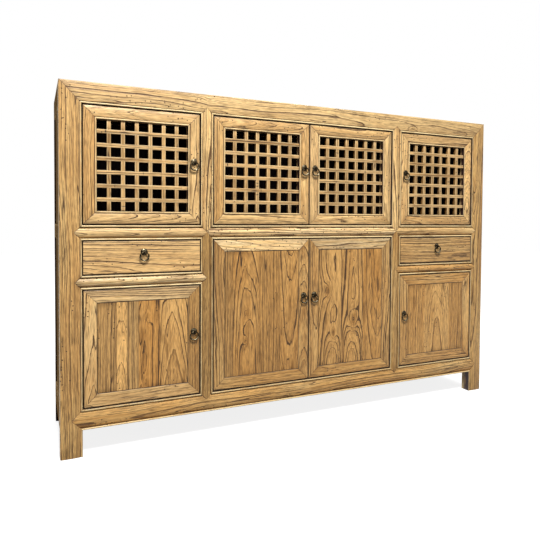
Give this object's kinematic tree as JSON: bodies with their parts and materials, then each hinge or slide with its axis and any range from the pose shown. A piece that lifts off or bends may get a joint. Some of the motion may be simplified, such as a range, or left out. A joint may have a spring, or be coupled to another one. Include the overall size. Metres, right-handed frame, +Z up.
{
  "type": "chinese book cabinet",
  "caption": "Low, wide book cabinet in reclaimed elm: lattice doors above, drawers and panelled doors below, round ring pulls, mitred bead-moulded front frame on short legs.",
  "frame": {"origin": "middle of the footprint on the floor, ring pulls included", "axes": "+Z up, +X along the width towards the viewer's right, doors face -Y"},
  "size_m": [1.6, 0.3607, 1.082],
  "materials": {
    "elm_frame": "waxed reclaimed elm",
    "elm_doors": "waxed reclaimed elm",
    "elm_panels": "waxed reclaimed elm with open grain",
    "elm_lattice": "waxed reclaimed elm",
    "elm_boards": "sawn and planed elm boards",
    "bronze": "aged dark bronze"
  },
  "bodies": {
    "carcass": {"left_front_post": "elm_frame", "right_front_post": "elm_frame", "rear_posts": "elm_frame", "top_front_rail": "elm_frame", "top_end_and_back_rails": "elm_frame", "top_panel": "elm_frame", "left_mullion": "elm_frame", "right_mullion": "elm_frame", "mid_rails": "elm_frame", "drawer_rails": "elm_frame", "bottom_front_rail": "elm_frame", "end_rails": "elm_frame", "back_rails": "elm_frame", "end_panels": "elm_boards", "back_boards": "elm_boards", "floor_boards": "elm_boards", "shelves": "elm_boards", "partitions": "elm_boards", "drawer_runners": "elm_boards", "door_pivot_pins": "bronze"},
    "upper_left_door": {"upper_left_door_frame": "elm_doors", "upper_left_door_lattice": "elm_lattice", "upper_left_door_pull": "bronze"},
    "upper_left_door_ring": {"upper_left_door_ring": "bronze"},
    "upper_centre_left_door": {"upper_centre_left_door_frame": "elm_doors", "upper_centre_left_door_lattice": "elm_lattice", "upper_centre_left_door_pull": "bronze"},
    "upper_centre_left_door_ring": {"upper_centre_left_door_ring": "bronze"},
    "upper_centre_right_door": {"upper_centre_right_door_frame": "elm_doors", "upper_centre_right_door_lattice": "elm_lattice", "upper_centre_right_door_pull": "bronze"},
    "upper_centre_right_door_ring": {"upper_centre_right_door_ring": "bronze"},
    "upper_right_door": {"upper_right_door_frame": "elm_doors", "upper_right_door_lattice": "elm_lattice", "upper_right_door_pull": "bronze"},
    "upper_right_door_ring": {"upper_right_door_ring": "bronze"},
    "lower_left_door": {"lower_left_door_frame": "elm_doors", "lower_left_door_panel": "elm_panels", "lower_left_door_pull": "bronze"},
    "lower_left_door_ring": {"lower_left_door_ring": "bronze"},
    "lower_centre_left_door": {"lower_centre_left_door_frame": "elm_doors", "lower_centre_left_door_panel": "elm_panels", "lower_centre_left_door_pull": "bronze"},
    "lower_centre_left_door_ring": {"lower_centre_left_door_ring": "bronze"},
    "lower_centre_right_door": {"lower_centre_right_door_frame": "elm_doors", "lower_centre_right_door_panel": "elm_panels", "lower_centre_right_door_pull": "bronze"},
    "lower_centre_right_door_ring": {"lower_centre_right_door_ring": "bronze"},
    "lower_right_door": {"lower_right_door_frame": "elm_doors", "lower_right_door_panel": "elm_panels", "lower_right_door_pull": "bronze"},
    "lower_right_door_ring": {"lower_right_door_ring": "bronze"},
    "left_drawer": {"left_drawer_front": "elm_panels", "left_drawer_box": "elm_boards", "left_drawer_pull": "bronze"},
    "left_drawer_ring": {"left_drawer_ring": "bronze"},
    "right_drawer": {"right_drawer_front": "elm_panels", "right_drawer_box": "elm_boards", "right_drawer_pull": "bronze"},
    "right_drawer_ring": {"right_drawer_ring": "bronze"}
  },
  "joints": [
    {"name": "upper_left_door_hinge", "type": "hinge", "parent": "carcass", "child": "upper_left_door", "pos_m": [-0.727, -0.16115, 0.675], "axis": [0, 0, -1], "range_deg": [0, 110]},
    {"name": "upper_left_door_ring_lift", "type": "hinge", "parent": "upper_left_door", "child": "upper_left_door_ring", "pos_m": [-0.409, -0.17515, 0.86823], "axis": [-1, 0, 0], "range_deg": [0, 170]},
    {"name": "upper_centre_left_door_hinge", "type": "hinge", "parent": "carcass", "child": "upper_centre_left_door", "pos_m": [-0.335, -0.16115, 0.675], "axis": [0, 0, -1], "range_deg": [0, 95]},
    {"name": "upper_centre_left_door_ring_lift", "type": "hinge", "parent": "upper_centre_left_door", "child": "upper_centre_left_door_ring", "pos_m": [-0.0205, -0.17515, 0.86823], "axis": [-1, 0, 0], "range_deg": [0, 170]},
    {"name": "upper_centre_right_door_hinge", "type": "hinge", "parent": "carcass", "child": "upper_centre_right_door", "pos_m": [0.335, -0.16115, 0.675], "axis": [0, 0, 1], "range_deg": [0, 95]},
    {"name": "upper_centre_right_door_ring_lift", "type": "hinge", "parent": "upper_centre_right_door", "child": "upper_centre_right_door_ring", "pos_m": [0.0205, -0.17515, 0.86823], "axis": [-1, 0, 0], "range_deg": [0, 170]},
    {"name": "upper_right_door_hinge", "type": "hinge", "parent": "carcass", "child": "upper_right_door", "pos_m": [0.727, -0.16115, 0.675], "axis": [0, 0, 1], "range_deg": [0, 110]},
    {"name": "upper_right_door_ring_lift", "type": "hinge", "parent": "upper_right_door", "child": "upper_right_door_ring", "pos_m": [0.409, -0.17515, 0.86823], "axis": [-1, 0, 0], "range_deg": [0, 170]},
    {"name": "lower_left_door_hinge", "type": "hinge", "parent": "carcass", "child": "lower_left_door", "pos_m": [-0.727, -0.16115, 0.141], "axis": [0, 0, -1], "range_deg": [0, 110]},
    {"name": "lower_left_door_ring_lift", "type": "hinge", "parent": "lower_left_door", "child": "lower_left_door_ring", "pos_m": [-0.409, -0.17515, 0.33868], "axis": [-1, 0, 0], "range_deg": [0, 170]},
    {"name": "lower_centre_left_door_hinge", "type": "hinge", "parent": "carcass", "child": "lower_centre_left_door", "pos_m": [-0.335, -0.16115, 0.141], "axis": [0, 0, -1], "range_deg": [0, 95]},
    {"name": "lower_centre_left_door_ring_lift", "type": "hinge", "parent": "lower_centre_left_door", "child": "lower_centre_left_door_ring", "pos_m": [-0.0205, -0.17515, 0.4314], "axis": [-1, 0, 0], "range_deg": [0, 170]},
    {"name": "lower_centre_right_door_hinge", "type": "hinge", "parent": "carcass", "child": "lower_centre_right_door", "pos_m": [0.335, -0.16115, 0.141], "axis": [0, 0, 1], "range_deg": [0, 95]},
    {"name": "lower_centre_right_door_ring_lift", "type": "hinge", "parent": "lower_centre_right_door", "child": "lower_centre_right_door_ring", "pos_m": [0.0205, -0.17515, 0.4314], "axis": [-1, 0, 0], "range_deg": [0, 170]},
    {"name": "lower_right_door_hinge", "type": "hinge", "parent": "carcass", "child": "lower_right_door", "pos_m": [0.727, -0.16115, 0.141], "axis": [0, 0, 1], "range_deg": [0, 110]},
    {"name": "lower_right_door_ring_lift", "type": "hinge", "parent": "lower_right_door", "child": "lower_right_door_ring", "pos_m": [0.409, -0.17515, 0.33868], "axis": [-1, 0, 0], "range_deg": [0, 170]},
    {"name": "left_drawer_slide", "type": "slide", "parent": "carcass", "child": "left_drawer", "axis": [0, -1, 0], "range_m": [0, 0.24]},
    {"name": "left_drawer_ring_lift", "type": "hinge", "parent": "left_drawer", "child": "left_drawer_ring", "pos_m": [-0.563, -0.17515, 0.5914], "axis": [-1, 0, 0], "range_deg": [0, 170]},
    {"name": "right_drawer_slide", "type": "slide", "parent": "carcass", "child": "right_drawer", "axis": [0, -1, 0], "range_m": [0, 0.24]},
    {"name": "right_drawer_ring_lift", "type": "hinge", "parent": "right_drawer", "child": "right_drawer_ring", "pos_m": [0.563, -0.17515, 0.5914], "axis": [-1, 0, 0], "range_deg": [0, 170]}
  ]
}
